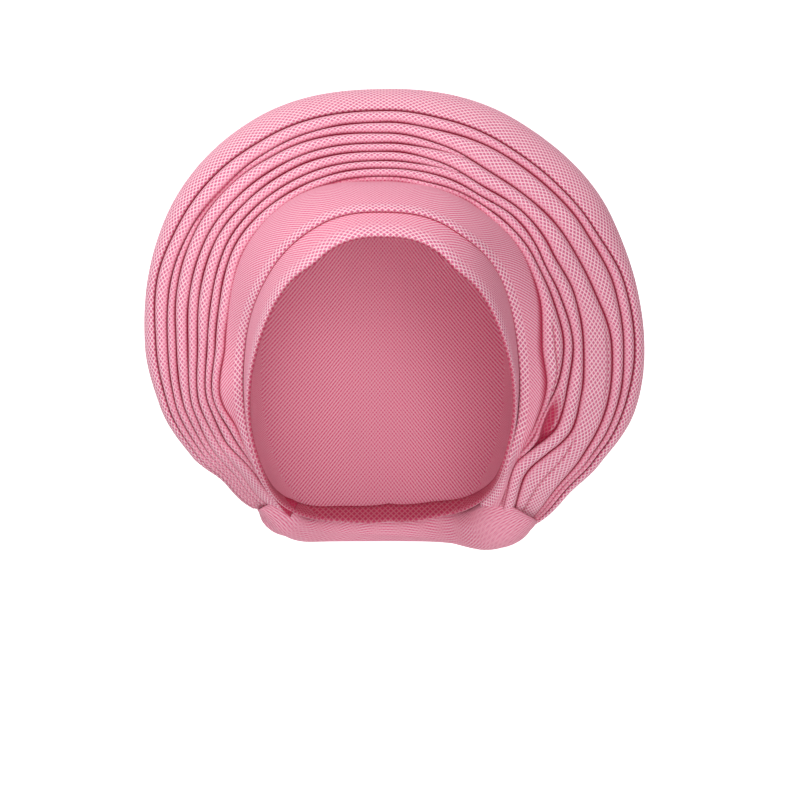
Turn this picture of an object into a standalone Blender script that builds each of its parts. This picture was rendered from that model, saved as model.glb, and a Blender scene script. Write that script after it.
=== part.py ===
"""A tied gele head tie: wraps, a halo of pressed pleats, and a knot at the nape.

Metres, +Z up, the wearer looks along -Y. The origin is the top of the wearer's head.
The halo stands round an axis along Y. Its layers are worked out in flat sections that
turn about this axis: an angle of 0 degrees is straight up, and positive is to +X.
In a section, "out" is the distance from the axis, and "back" is the place along +Y.
"""
import math

import bmesh
import bpy
from mathutils import Vector

# The head that the cloth sits on: a squarish ellipsoid whose top is the origin
HEAD_HALF_WIDTH = 0.075
HEAD_HALF_LENGTH = 0.097
HEAD_HALF_HEIGHT = 0.100
HEAD_POWER = 2.4

# The halo's axis
AXIS_RIGHT = 0.004
AXIS_DOWN = 0.087

# Cloth
CAP_THICKNESS = 0.0020
BAND_THICKNESS = 0.0020
PLEAT_THICKNESS = 0.0016
DRAPE_THICKNESS = 0.0020
PLY_GAP = 0.0007

# The halo
FAN_WIDTH = 0.060
FAN_DEPTH = 0.045
ROOT_STANDOFF = 0.018
FOLD_ROUNDING = 0.0013
PLEAT_DIP = 0.0045
PLEAT_TUCK = 0.0040
RIM_ROLL = 0.012

# The back of the halo, the knot and the nape
KNOT_DOWN = 0.150
KNOT_THROAT = 0.013
GATHER_COUNT = 8
GATHER_DEPTH = 0.0035
HEM_FLARE = 0.005
NAPE_ROLL_WIDTH = 0.038
NAPE_ROLL_THICKNESS = 0.018
NAPE_REACH = 0.088
NAPE_DOWN = 0.189
KNOT_WIDTH = 0.046
KNOT_HEIGHT = 0.036
KNOT_DEPTH = 0.024
KNOT_LIFT = 0.0024
TAIL_LENGTH = 0.034
TAIL_WIDTH = 0.030
TAIL_THICKNESS = 0.0020
TAIL_SPLAY = 28.0

STATION_STEP = 7.5
END_ANGLE = 150.0
END_SKEW = 10.0
TAPER_ANGLE = 15.0
TAPER_LEAST = 0.65

# The hem of the first wrap, the same on both sides. "round" is the angle over the head
# from its back, and "flare" the share of HEM_FLARE by which the hem stands off it.
HEM = [
    {"angle": 0, "round": 143.8, "flare": 0.00},
    {"angle": 40, "round": 142.5, "flare": 0.00},
    {"angle": 60, "round": 134.5, "flare": 0.00},
    {"angle": 75, "round": 127.5, "flare": 0.00},
    {"angle": 90, "round": 120.3, "flare": 0.15},
    {"angle": 105, "round": 113.0, "flare": 0.42},
    {"angle": 120, "round": 105.0, "flare": 0.45},
    {"angle": 135, "round": 98.0, "flare": 0.35},
    {"angle": 150, "round": 76.0, "flare": 0.80},
    {"angle": 165, "round": 61.5, "flare": 0.80},
    {"angle": 180, "round": 57.3, "flare": 1.00},
]

# The second wrap's folded edge and the root of the halo. "puff" and "stand" are shares
# of ROOT_STANDOFF, "width" of FAN_WIDTH and "depth" of FAN_DEPTH.
ARCH = [
    {"angle": -150, "turn": 83.0, "puff": 0.06, "root": 75.0, "stand": 0.12, "width": 0.20, "depth": 0.38},
    {"angle": -135, "turn": 92.0, "puff": 0.00, "root": 88.0, "stand": 0.16, "width": 0.32, "depth": 0.71},
    {"angle": -120, "turn": 95.0, "puff": 0.06, "root": 91.8, "stand": 0.42, "width": 0.53, "depth": 0.78},
    {"angle": -105, "turn": 99.0, "puff": 0.10, "root": 94.5, "stand": 0.82, "width": 0.64, "depth": 0.83},
    {"angle": -90, "turn": 102.3, "puff": 0.00, "root": 96.9, "stand": 0.64, "width": 0.82, "depth": 0.87},
    {"angle": -60, "turn": 118.8, "puff": 0.00, "root": 100.0, "stand": 0.70, "width": 0.88, "depth": 0.89},
    {"angle": -30, "turn": 128.6, "puff": 0.00, "root": 101.5, "stand": 0.48, "width": 0.91, "depth": 0.92},
    {"angle": 0, "turn": 130.5, "puff": 0.00, "root": 102.4, "stand": 0.24, "width": 0.95, "depth": 0.93},
    {"angle": 30, "turn": 127.6, "puff": 0.00, "root": 101.5, "stand": 0.41, "width": 0.97, "depth": 0.92},
    {"angle": 60, "turn": 112.9, "puff": 0.00, "root": 100.0, "stand": 0.81, "width": 0.98, "depth": 0.89},
    {"angle": 90, "turn": 102.5, "puff": 0.00, "root": 96.9, "stand": 0.77, "width": 1.03, "depth": 0.87},
    {"angle": 105, "turn": 99.0, "puff": 0.10, "root": 94.5, "stand": 0.92, "width": 0.93, "depth": 0.83},
    {"angle": 120, "turn": 94.0, "puff": 0.14, "root": 91.8, "stand": 0.79, "width": 0.72, "depth": 0.78},
    {"angle": 135, "turn": 92.0, "puff": 0.06, "root": 88.0, "stand": 0.39, "width": 0.59, "depth": 0.71},
    {"angle": 150, "turn": 83.0, "puff": 0.06, "root": 75.0, "stand": 1.15, "width": 0.22, "depth": 0.42},
]

# Where each fold lies, as a share of the way from the halo's root to its rim
FOLD_ANGLES = [-150, -125, -100, -60, -25, 0, 25, 55, 90, 120, 150]
FOLDS = [
    {"name": "pleat_1", "first": -30.0, "last": 150.0,
     "shares": [0.01, 0.01, 0.01, 0.01, 0.01, 0.01, 0.01, 0.01, 0.01, 0.01, 0.01]},
    {"name": "pleat_2", "first": -135.0, "last": 150.0,
     "shares": [0.03, 0.03, 0.02, 0.02, 0.03, 0.04, 0.045, 0.06, 0.09, 0.08, 0.08]},
    {"name": "pleat_3", "first": -150.0, "last": 150.0,
     "shares": [0.11, 0.10, 0.06, 0.07, 0.065, 0.09, 0.09, 0.12, 0.17, 0.18, 0.17]},
    {"name": "pleat_4", "first": -150.0, "last": 22.5,
     "shares": [0.22, 0.21, 0.14, 0.16, 0.12, 0.16, 0.165, 0.20, 0.28, 0.30, 0.30]},
    {"name": "pleat_5", "first": -150.0, "last": 150.0,
     "shares": [0.33, 0.34, 0.27, 0.29, 0.22, 0.25, 0.19, 0.225, 0.37, 0.32, 0.31]},
    {"name": "pleat_6", "first": -150.0, "last": 22.5,
     "shares": [0.45, 0.50, 0.40, 0.41, 0.33, 0.35, 0.33, 0.40, 0.50, 0.55, 0.55]},
    {"name": "pleat_7", "first": -150.0, "last": 150.0,
     "shares": [0.57, 0.61, 0.54, 0.56, 0.46, 0.46, 0.355, 0.41, 0.59, 0.69, 0.56]},
    {"name": "pleat_8", "first": -150.0, "last": 150.0,
     "shares": [0.69, 0.72, 0.67, 0.62, 0.54, 0.58, 0.555, 0.62, 0.77, 0.81, 0.69]},
    {"name": "rim_drape", "first": -150.0, "last": 150.0,
     "shares": [0.81, 0.85, 0.82, 0.78, 0.69, 0.71, 0.665, 0.71, 0.87, 0.87, 0.81]},
]

# The bunched cloth round the nape, at shares of its way from the fan's right end to its
# left end, with its size as shares of the roll's
NAPE = [
    {"share": 0.00, "wide": 0.50, "thick": 0.50},
    {"share": 0.04, "wide": 0.88, "thick": 0.84},
    {"share": 0.12, "wide": 1.00, "thick": 0.95},
    {"share": 0.30, "wide": 0.80, "thick": 1.45},
    {"share": 0.50, "wide": 0.66, "thick": 1.80},
    {"share": 0.70, "wide": 0.66, "thick": 1.45},
    {"share": 0.88, "wide": 0.62, "thick": 0.95},
    {"share": 0.96, "wide": 0.55, "thick": 0.80},
    {"share": 1.00, "wide": 0.30, "thick": 0.45},
]

CLOTH_COLOUR = (0.80, 0.36, 0.47, 1.0)


def smooth(places, values, place):
    """The value at a place on a smooth curve through the table, without overshoot."""
    place = min(max(place, places[0]), places[-1])
    slopes = [(values[i + 1] - values[i]) / (places[i + 1] - places[i]) for i in range(len(places) - 1)]
    tangents = [slopes[0]]
    for before, after in zip(slopes, slopes[1:]):
        tangents.append(0.0 if before * after <= 0 else 2 * before * after / (before + after))
    tangents.append(slopes[-1])
    i = max(k for k in range(len(places) - 1) if places[k] <= place)
    span = places[i + 1] - places[i]
    t = (place - places[i]) / span
    rise = t * t * (3 - 2 * t)
    return (values[i] * (1 - rise) + values[i + 1] * rise
            + span * (t * (1 - t) ** 2 * tangents[i] - t * t * (1 - t) * tangents[i + 1]))


def column(table, name, place, key="angle"):
    """A named column of a table, read smoothly at a place in its key column."""
    return smooth([row[key] for row in table], [row[name] for row in table], place)


def bezier(points, t):
    """The point at share t of the Bezier curve with these control points."""
    while len(points) > 1:
        points = [a.lerp(b, t) for a, b in zip(points, points[1:])]
    return points[0]


def head_reach(angle):
    """How far the head reaches from the halo's axis, in the direction of an angle."""
    across = math.sin(math.radians(angle))
    up = math.cos(math.radians(angle))
    low, high = 0.0, 2 * HEAD_HALF_HEIGHT
    for _ in range(40):
        reach = (low + high) / 2
        x = abs(AXIS_RIGHT + reach * across) / HEAD_HALF_WIDTH
        z = abs(HEAD_HALF_HEIGHT - AXIS_DOWN + reach * up) / HEAD_HALF_HEIGHT
        if x ** HEAD_POWER + z ** HEAD_POWER > 1:
            high = reach
        else:
            low = reach
    return reach


def over_head(angle, turn, lift):
    """(out, back) of a point that stands off the head, at a turn over it from the back."""
    power = 2 / HEAD_POWER
    cosine = math.cos(math.radians(turn))
    out = (head_reach(angle) + lift) * abs(math.sin(math.radians(turn))) ** power
    back = math.copysign((HEAD_HALF_LENGTH + lift) * abs(cosine) ** power, cosine)
    return Vector((out, back))


def cap_lift(angle, turn):
    """How far the first wrap's inside stands off the head, more towards its hem."""
    share = min(turn / column(HEM, "round", abs(angle)), 1.0)
    return HEM_FLARE * column(HEM, "flare", abs(angle)) * share ** 3


def in_space(angle, point):
    """The point in space of a section's (out, back)."""
    across = math.sin(math.radians(angle))
    up = math.cos(math.radians(angle))
    return Vector((AXIS_RIGHT + point.x * across, point.y, point.x * up - AXIS_DOWN))


def off_head(point, lift):
    """The point, pushed out from the head's middle where it is less than lift off it."""
    middle = Vector((0, 0, -HEAD_HALF_HEIGHT))
    spoke = point - middle
    sizes = (HEAD_HALF_WIDTH + lift, HEAD_HALF_LENGTH + lift, HEAD_HALF_HEIGHT + lift)
    reach = sum(abs(spoke[i] / sizes[i]) ** HEAD_POWER for i in range(3)) ** (1 / HEAD_POWER)
    return middle + spoke / min(reach, 1.0)


class Section:
    """The halo's base line in one section: the turn fold, the root and the rim."""

    def __init__(self, station):
        seat = CAP_THICKNESS + PLY_GAP + BAND_THICKNESS / 2
        turn, root = column(ARCH, "turn", station), column(ARCH, "root", station)
        self.station = station
        self.turn = over_head(station, turn, seat + cap_lift(station, turn)
                              + ROOT_STANDOFF * column(ARCH, "puff", station))
        self.root = over_head(station, root, seat + ROOT_STANDOFF * column(ARCH, "stand", station))
        self.rim = self.root + Vector((FAN_WIDTH * column(ARCH, "width", station),
                                       FAN_DEPTH * column(ARCH, "depth", station)))
        slant = self.rim - self.root
        self.length = slant.length
        self.along = slant.normalized()
        self.up = Vector((self.along.y, -self.along.x))
        near_end = max(0.0, abs(station) - (END_ANGLE - 3 * END_SKEW)) / (3 * END_SKEW)
        self.skew = math.copysign(END_SKEW * near_end, station)
        self.folds = [self.length * smooth(FOLD_ANGLES, fold["shares"], station) for fold in FOLDS]

    def weight(self, layer):
        """How much of a layer is there: 1, less near its thinner ends, and 0 past them."""
        fold = FOLDS[layer]
        if not fold["first"] <= self.station <= fold["last"]:
            return 0.0
        to_end = min(self.station - fold["first"], fold["last"] - self.station) / TAPER_ANGLE
        return TAPER_LEAST + (1 - TAPER_LEAST) * min(to_end, 1.0)

    def top(self, layer, place):
        """Height of a layer's face over the base line; each fold above presses it down."""
        height = PLY_GAP + PLEAT_THICKNESS
        for over in range(layer + 1, len(FOLDS)):
            weight = self.weight(over)
            pressed = (place - self.folds[over] + PLEAT_DIP) / PLEAT_DIP
            if weight > 0:
                height -= (PLEAT_THICKNESS * weight + PLY_GAP) * min(max(pressed, 0.0), 1.0)
        return height

    def place(self, along, height):
        """The point in space at a distance along the base line and a height over it."""
        share = min(max(along / self.length, 0.0), 1.0)
        return in_space(self.station - self.skew * share,
                        self.root + self.along * along + self.up * height)

    def fold_over(self, layer):
        """Where the next fold that lies over a layer is."""
        overs = [self.folds[k] for k in range(layer + 1, len(FOLDS)) if self.weight(k) > 0]
        return overs[0]


def stations(first, last):
    """The section angles from first to last."""
    count = round((last - first) / STATION_STEP)
    return [first + STATION_STEP * k for k in range(count + 1)]


def cloth_material(name):
    """A plain material in the cloth's colour."""
    material = bpy.data.materials.new(name)
    material.use_nodes = True
    shader = material.node_tree.nodes["Principled BSDF"]
    shader.inputs["Base Color"].default_value = CLOTH_COLOUR
    shader.inputs["Roughness"].default_value = 0.85
    shader.inputs["Metallic"].default_value = 0.0
    return material


def make_object(name, mesh, parts):
    """An object with its own material, shaded smooth, in the parts' collection."""
    mesh.materials.append(cloth_material(name + "_cloth"))
    mesh.shade_smooth()
    piece = bpy.data.objects.new(name, mesh)
    parts.objects.link(piece)
    return piece


def loft(name, loops, parts, ring=False):
    """A closed solid through loops of as many points each; ring joins the last to the first."""
    shape = bmesh.new()
    rows = [[shape.verts.new(point) for point in loop] for loop in loops]
    pairs = list(zip(rows, rows[1:])) + ([(rows[-1], rows[0])] if ring else [])
    for low, high in pairs:
        for k in range(len(low)):
            n = (k + 1) % len(low)
            shape.faces.new((low[k], low[n], high[n], high[k]))
    if not ring:
        shape.faces.new(rows[0])
        shape.faces.new(rows[-1])
    bmesh.ops.triangulate(shape, faces=[face for face in shape.faces if len(face.verts) > 4])
    bmesh.ops.recalc_face_normals(shape, faces=shape.faces)
    mesh = bpy.data.meshes.new(name)
    shape.to_mesh(mesh)
    shape.free()
    return make_object(name, mesh, parts)


def walled(path, thickness, rounding):
    """A closed loop round a (out, back) path that starts at a fold and ends in a plain edge."""
    left, right = [], []
    for k, point in enumerate(path):
        before = path[max(k - 1, 0)]
        after = path[min(k + 1, len(path) - 1)]
        way = (after - before).normalized()
        side = Vector((way.y, -way.x)) * thickness / 2
        left.append(point + side)
        right.append(point - side)
    nose = path[0] - (path[1] - path[0]).normalized() * rounding
    return [nose] + left + right[::-1]


def make_head_wrap(parts):
    """The first turn: a cap over the head, open for the face and the neck."""
    spokes, rings = 36, 8
    shape = bmesh.new()
    pole = shape.verts.new(in_space(0, Vector((0, HEAD_HALF_LENGTH))))
    rows = []
    for spoke in range(spokes):
        angle = 360 * spoke / spokes - 180
        turn = column(HEM, "round", abs(angle))
        row = [pole]
        for ring in range(1, rings + 1):
            here = turn * ring / rings
            row.append(shape.verts.new(in_space(angle, over_head(angle, here, cap_lift(angle, here)))))
        rows.append(row)
    for row, after in zip(rows, rows[1:] + rows[:1]):
        shape.faces.new((pole, row[1], after[1]))
        for ring in range(1, rings):
            shape.faces.new((row[ring], row[ring + 1], after[ring + 1], after[ring]))
    bmesh.ops.recalc_face_normals(shape, faces=shape.faces)
    mesh = bpy.data.meshes.new("head_wrap")
    shape.to_mesh(mesh)
    shape.free()
    piece = make_object("head_wrap", mesh, parts)
    wall = piece.modifiers.new("cloth", "SOLIDIFY")
    wall.thickness = CAP_THICKNESS
    wall.offset = 1
    return piece


def make_second_wrap(parts):
    """The second turn: a band from its folded edge to under the innermost pleats."""
    loops = []
    for station in stations(-135.0, 135.0):
        section = Section(station)
        under = [section.root + section.along * s + section.up * (section.top(-1, s) - BAND_THICKNESS / 2)
                 for s in (0, PLEAT_TUCK / 3, PLEAT_TUCK)]
        band = section.root - section.turn
        swell = Vector((band.y, -band.x)) * 0.05
        fold = section.turn
        path = [fold, fold + band * 0.08 + swell * 0.3, fold + band * 0.35 + swell,
                fold + band * 0.70 + swell * 0.8] + under
        loops.append([in_space(station, point) for point in walled(path, BAND_THICKNESS, FOLD_ROUNDING / 2)])
    return loft("second_wrap", loops, parts)


def make_pleat(layer, parts):
    """A pressed pleat: its fold lies on the next one in, its hidden edge under the next one out."""
    fold = FOLDS[layer]
    loops = []
    for station in stations(fold["first"], fold["last"]):
        section = Section(station)
        start = section.folds[layer]
        over = section.fold_over(layer)
        thick = PLEAT_THICKNESS * section.weight(layer)
        room = max(0.4 * (section.length - over) - PLY_GAP, PLY_GAP)
        places = [start + FOLD_ROUNDING]
        for place in (over - PLEAT_DIP, over, over + min(PLEAT_TUCK, room)):
            places.append(max(place, places[-1] + FOLD_ROUNDING / 3))
        loop = [section.place(start, section.top(layer, start) - thick / 2)]
        loop += [section.place(s, section.top(layer, s)) for s in places]
        loop += [section.place(s, section.top(layer, s) - thick) for s in places[::-1]]
        loops.append(loop)
    return loft(fold["name"], loops, parts)


def drape_lift():
    """How far the drape's outside stays off the head, so that its gathers clear the first wrap."""
    return CAP_THICKNESS + 2 * PLY_GAP + DRAPE_THICKNESS + GATHER_DEPTH


def knot_seat():
    """Where the drape gathers to the knot: a point behind the head on its middle line."""
    down = abs(KNOT_DOWN - KNOT_THROAT - HEAD_HALF_HEIGHT) / (HEAD_HALF_HEIGHT + drape_lift())
    back = (HEAD_HALF_LENGTH + drape_lift()) * (1 - down ** HEAD_POWER) ** (1 / HEAD_POWER)
    return Vector((0, back, -KNOT_DOWN))


def drape_line(section, inset):
    """The rim drape in one section, inset from its outside, from its fold to the knot."""
    last = len(FOLDS) - 1
    start = section.folds[last]
    top = section.top(last, start) + DRAPE_THICKNESS - PLEAT_THICKNESS - inset
    first = section.place(start + FOLD_ROUNDING, top)
    crest = section.place(section.length - inset, top)
    roll_end = section.place(section.length - inset, 0) + Vector((0, RIM_ROLL, 0))
    line = [bezier([first, crest, roll_end], t) for t in (0.0, 0.4, 0.75, 1.0)]
    angle = math.radians(section.station)
    across, up = math.sin(angle), math.cos(angle)
    seat = knot_seat()
    throat = seat + Vector((KNOT_THROAT * across, 0, KNOT_THROAT * up))
    leave = roll_end + Vector((0, 0.45 * HEAD_HALF_LENGTH * (0.6 + 0.4 * max(up, 0)), 0))
    arrive = seat + Vector((0.65 * HEAD_HALF_WIDTH * across, 0.03 * up * HEAD_HALF_LENGTH,
                            (0.70 * max(up, 0) + 0.40 * min(up, 0)) * HEAD_HALF_HEIGHT))
    steps = 8
    for k in range(1, steps + 1):
        line.append(off_head(bezier([roll_end, leave, arrive, throat], k / steps), drape_lift()))
    return line


def make_rim_drape(parts):
    """The widest pleat: it turns over the rim and falls to the knot in radiating gathers."""
    sections = [Section(station) for station in stations(-END_ANGLE, END_ANGLE)]
    grid = [drape_line(section, 0.0) for section in sections]
    under = [drape_line(section, DRAPE_THICKNESS) for section in sections]
    last = len(FOLDS) - 1
    columns, rows, roll_row = len(grid), len(grid[0]), 3
    loops = []
    for i, section in enumerate(sections):
        outer, inner = [], []
        phase = math.radians(section.station) * GATHER_COUNT * 180 / END_ANGLE
        for j in range(rows):
            along = grid[i][min(j + 1, rows - 1)] - grid[i][max(j - 1, 0)]
            across = grid[min(i + 1, columns - 1)][j] - grid[max(i - 1, 0)][j]
            normal = along.cross(across).normalized()
            share = max(0, j - roll_row) / (rows - 1 - roll_row)
            dent = GATHER_DEPTH * math.sin(math.pi * share) ** 0.8 * (math.cos(phase) - 1) / 2
            outer.append(grid[i][j] + normal * dent)
            inner.append(under[i][j] if j < roll_row else grid[i][j] + normal * (dent - DRAPE_THICKNESS))
        start = section.folds[last]
        nose = section.place(start, section.top(last, start) - PLEAT_THICKNESS + DRAPE_THICKNESS / 2)
        loops.append([nose] + outer + inner[::-1])
    return loft("rim_drape", loops, parts)


def fan_end(side):
    """The middle of the nape roll's end, under one end of the halo; side is 1 or -1."""
    section = Section(side * END_ANGLE)
    root, rim = section.place(0, 0), section.place(section.length, 0)
    thick = NAPE_ROLL_THICKNESS * NAPE[2 if side > 0 else -3]["thick"]
    middle = (root + rim) / 2
    middle.z = min(root.z, rim.z) - thick / 2 - 3 * PLY_GAP
    return middle


def make_nape_wrap(parts):
    """The bunched cloth round the nape, from the fan's right end to its left end."""
    right, left = fan_end(1), fan_end(-1)
    back = Vector((0, NAPE_REACH, -NAPE_DOWN))
    beside = Vector((0.6 * HEAD_HALF_WIDTH, 0, 0))
    rearward = Vector((0, 0.4 * HEAD_HALF_LENGTH, NAPE_ROLL_THICKNESS / 3))
    halves = ([right, right + rearward, back + beside, back], [back, back - beside, left + rearward, left])
    corners, steps = 12, 16
    loops = []
    for k in range(steps + 1):
        share = smooth([0, 2, steps - 2, steps], [0, 0.07, 0.93, 1], k)
        half = halves[0] if share <= 0.5 else halves[1]
        t = 2 * share if share <= 0.5 else 2 * share - 1
        middle = bezier(half, t)
        way = bezier([b - a for a, b in zip(half, half[1:])], t)
        aside = Vector((way.y, -way.x, 0)).normalized()
        wide = NAPE_ROLL_WIDTH / 2 * column(NAPE, "wide", share, "share")
        thick = NAPE_ROLL_THICKNESS / 2 * column(NAPE, "thick", share, "share")
        up = aside.cross(way).normalized()
        loops.append([middle + aside * wide * math.cos(2 * math.pi * c / corners)
                      + up * thick * math.sin(2 * math.pi * c / corners) for c in range(corners)])
    return loft("nape_wrap", loops, parts)


def knot_middle():
    """The knot's middle: it sits on the edge of the drape's throat."""
    sunk = math.sqrt(1 - (KNOT_THROAT / (KNOT_WIDTH / 2)) ** 2)
    return knot_seat() + Vector((0, KNOT_DEPTH / 2 * sunk + KNOT_LIFT, 0))


def make_nape_knot(parts):
    """The knot: a flattened ball of cloth, pinched by two slanting grooves."""
    bpy.ops.mesh.primitive_uv_sphere_add(segments=20, ring_count=12, radius=1.0)
    ball = bpy.context.object
    middle = knot_middle()
    for vertex in ball.data.vertices:
        x, y, z = vertex.co
        groove = max(0.0, 1 - abs(abs(x) - 0.45 - 0.3 * z) / 0.25) * max(y, 0.0)
        size = 1 - 0.10 * groove
        vertex.co = middle + Vector((x * KNOT_WIDTH / 2 * size, y * KNOT_DEPTH / 2 * size,
                                     z * KNOT_HEIGHT / 2 * size))
    mesh = ball.data
    bpy.data.objects.remove(ball)
    mesh.name = "nape_knot"
    return make_object("nape_knot", mesh, parts)


def make_tail_end(name, side, parts):
    """A short end of the cloth: it leaves the knot's underside and hangs behind the nape."""
    middle = knot_middle()
    rows, corners = 8, 7
    splay = math.radians(TAIL_SPLAY)
    way = Vector((side * math.sin(splay), 0, -math.cos(splay)))
    aside = Vector((math.cos(splay), 0, side * math.sin(splay)))
    start = middle + Vector((side * 0.27 * KNOT_WIDTH, 0, -0.43 * KNOT_HEIGHT - PLY_GAP))
    loops = []
    for row in range(rows):
        share = row / (rows - 1)
        half = TAIL_WIDTH / 2 * (0.38 + 0.62 * share ** 0.6)
        centre = start + way * TAIL_LENGTH * share
        front, rear = [], []
        for c in range(corners):
            along = 2 * c / (corners - 1) - 1
            wave = Vector((0, KNOT_DEPTH * 0.07 * math.cos(2.5 * math.pi * along), 0))
            point = centre + aside * half * along + wave
            front.append(point - Vector((0, TAIL_THICKNESS / 2, 0)))
            rear.append(point + Vector((0, TAIL_THICKNESS / 2, 0)))
        loops.append(front + rear[::-1])
    return loft(name, loops, parts)


def make_parts():
    """Builds every piece of the gele."""
    for thing in list(bpy.data.objects):
        bpy.data.objects.remove(thing, do_unlink=True)
    parts = bpy.data.collections.new("gele")
    bpy.context.scene.collection.children.link(parts)
    make_head_wrap(parts)
    make_second_wrap(parts)
    for layer in range(len(FOLDS) - 1):
        make_pleat(layer, parts)
    make_rim_drape(parts)
    make_nape_wrap(parts)
    make_nape_knot(parts)
    make_tail_end("tail_end_right", 1, parts)
    make_tail_end("tail_end_left", -1, parts)


make_parts()
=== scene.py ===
"""Dresses a tied gele head tie in its woven cloth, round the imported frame.

Metres, +Z up, the wearer looks along -Y, and the origin is the top of the wearer's head.
The halo of pleats stands round an axis along Y. Its layers are worked out in flat
sections that turn about this axis: 0 degrees is straight up, and positive is to +X.
In a section, "out" is the distance from the axis, and "back" is the place along +Y.
"""

import logging
import math
from dataclasses import dataclass, field
from enum import Enum
from typing import Sequence

import bmesh
import bpy
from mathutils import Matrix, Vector, noise

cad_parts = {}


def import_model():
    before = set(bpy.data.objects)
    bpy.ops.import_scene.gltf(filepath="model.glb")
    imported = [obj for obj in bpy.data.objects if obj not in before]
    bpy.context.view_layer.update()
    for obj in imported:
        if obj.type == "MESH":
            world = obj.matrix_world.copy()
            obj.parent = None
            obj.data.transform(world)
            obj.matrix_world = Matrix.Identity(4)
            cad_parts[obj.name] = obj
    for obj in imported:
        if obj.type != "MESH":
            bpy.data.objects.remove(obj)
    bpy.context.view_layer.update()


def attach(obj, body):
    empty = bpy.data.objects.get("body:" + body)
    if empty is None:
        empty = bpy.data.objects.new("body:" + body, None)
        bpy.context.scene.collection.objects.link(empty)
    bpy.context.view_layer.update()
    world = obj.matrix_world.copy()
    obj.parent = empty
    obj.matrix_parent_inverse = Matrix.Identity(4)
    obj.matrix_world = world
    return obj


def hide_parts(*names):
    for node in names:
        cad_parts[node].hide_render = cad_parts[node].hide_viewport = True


LOG = logging.getLogger("gele")
BODY = "root"
UV_NAME = "cloth_mm"
# How much painted shade a point has: its colour goes towards crimson in creases, under folds and in pockets,
# standing in for shade.
PAINTED_SHADE = "nook"
# How much painted highlight a point has: the pale floating threads show strongly near folds and hems and on
# the pleats' faces.
GLINT = "glint"
MM = 1000.0
WELD = 1e-6


class Held(Enum):
    """How a sheet of cloth keeps its place."""

    FOLDED = "folded"
    DRAPED = "draped"
    GATHERED = "gathered"


@dataclass(frozen=True)
class Form:
    """The head that the cloth sits on, a squarish ellipsoid, and the halo's axis."""

    half_width: float = 0.075
    half_length: float = 0.097
    half_height: float = 0.100
    power: float = 2.4
    axis_right: float = 0.004
    axis_down: float = 0.087
    halvings: int = 40

    def reach(self, angle: float) -> float:
        """How far the head reaches from the halo's axis, found by halving.

        Args:
            angle: The direction from the axis.

        Returns:
            The distance from the axis to the head's outline.
        """
        across, up = math.sin(math.radians(angle)), math.cos(math.radians(angle))
        low, high = 0.0, 2 * self.half_height
        for _ in range(self.halvings):
            reach = (low + high) / 2
            x = abs(self.axis_right + reach * across) / self.half_width
            z = abs(self.half_height - self.axis_down + reach * up) / self.half_height
            if x ** self.power + z ** self.power > 1:
                high = reach
            else:
                low = reach
        return reach

    def over(self, angle: float, turn: float, lift: float) -> Vector:
        """A point of a section that stands off the head.

        Args:
            angle: The section's angle.
            turn: The angle over the head, from its back.
            lift: How far the point stands off the head.

        Returns:
            The point as (out, back).
        """
        power = 2 / self.power
        cosine = math.cos(math.radians(turn))
        out = (self.reach(angle) + lift) * abs(math.sin(math.radians(turn))) ** power
        back = math.copysign((self.half_length + lift) * abs(cosine) ** power, cosine)
        return Vector((out, back))

    def in_space(self, angle: float, point: Vector) -> Vector:
        """The point in space of a section's (out, back)."""
        across, up = math.sin(math.radians(angle)), math.cos(math.radians(angle))
        return Vector((self.axis_right + point.x * across, point.y, point.x * up - self.axis_down))

    def push_off(self, point: Vector, lift: float) -> Vector:
        """Pushes a point out from the head's middle where it is too near the head.

        Args:
            point: The point.
            lift: How far it has to be off the head.

        Returns:
            The point, moved or not.
        """
        middle = Vector((0, 0, -self.half_height))
        spoke = point - middle
        sizes = (self.half_width + lift, self.half_length + lift, self.half_height + lift)
        reach = sum(abs(spoke[i] / sizes[i]) ** self.power for i in range(3)) ** (1 / self.power)
        return middle + spoke / min(reach, 1.0)


@dataclass(frozen=True)
class Cloth:
    """Thicknesses: of each pressed layer of cloth, of the air between, and of one ply."""

    cap: float = 0.0020
    band: float = 0.0020
    pleat: float = 0.0016
    drape: float = 0.0020
    gap: float = 0.0007
    ply: float = 0.0004


@dataclass(frozen=True)
class HemRow:
    """The first wrap's hem at an angle: its turn over the head and its share of the flare."""

    at: float
    round: float
    flare: float


@dataclass(frozen=True)
class ArchRow:
    """The second wrap's fold and the halo's root and rim in one section, as shares."""

    at: float
    turn: float
    puff: float
    root: float
    stand: float
    width: float
    depth: float


@dataclass(frozen=True)
class Fold:
    """One pleat's fold: where it starts and ends, and its share of the way to the rim."""

    name: str
    first: float
    last: float
    shares: tuple[float, ...]


@dataclass(frozen=True)
class Crease:
    """A soft crease in the pleats: its shares of the way to the rim at three angles, its depth, and how dark
    a shade is painted along it.
    """

    angles: tuple[float, float, float]
    shares: tuple[float, float, float]
    depth: float
    darkness: float


HEM = (
    HemRow(0, 143.8, 0.00), HemRow(40, 142.5, 0.00), HemRow(60, 134.5, 0.00),
    HemRow(75, 127.5, 0.00), HemRow(90, 120.3, 0.15), HemRow(105, 113.0, 0.42),
    HemRow(120, 105.0, 0.45), HemRow(135, 98.0, 0.35), HemRow(150, 76.0, 0.80),
    HemRow(165, 61.5, 0.80), HemRow(180, 57.3, 1.00),
)

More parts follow.
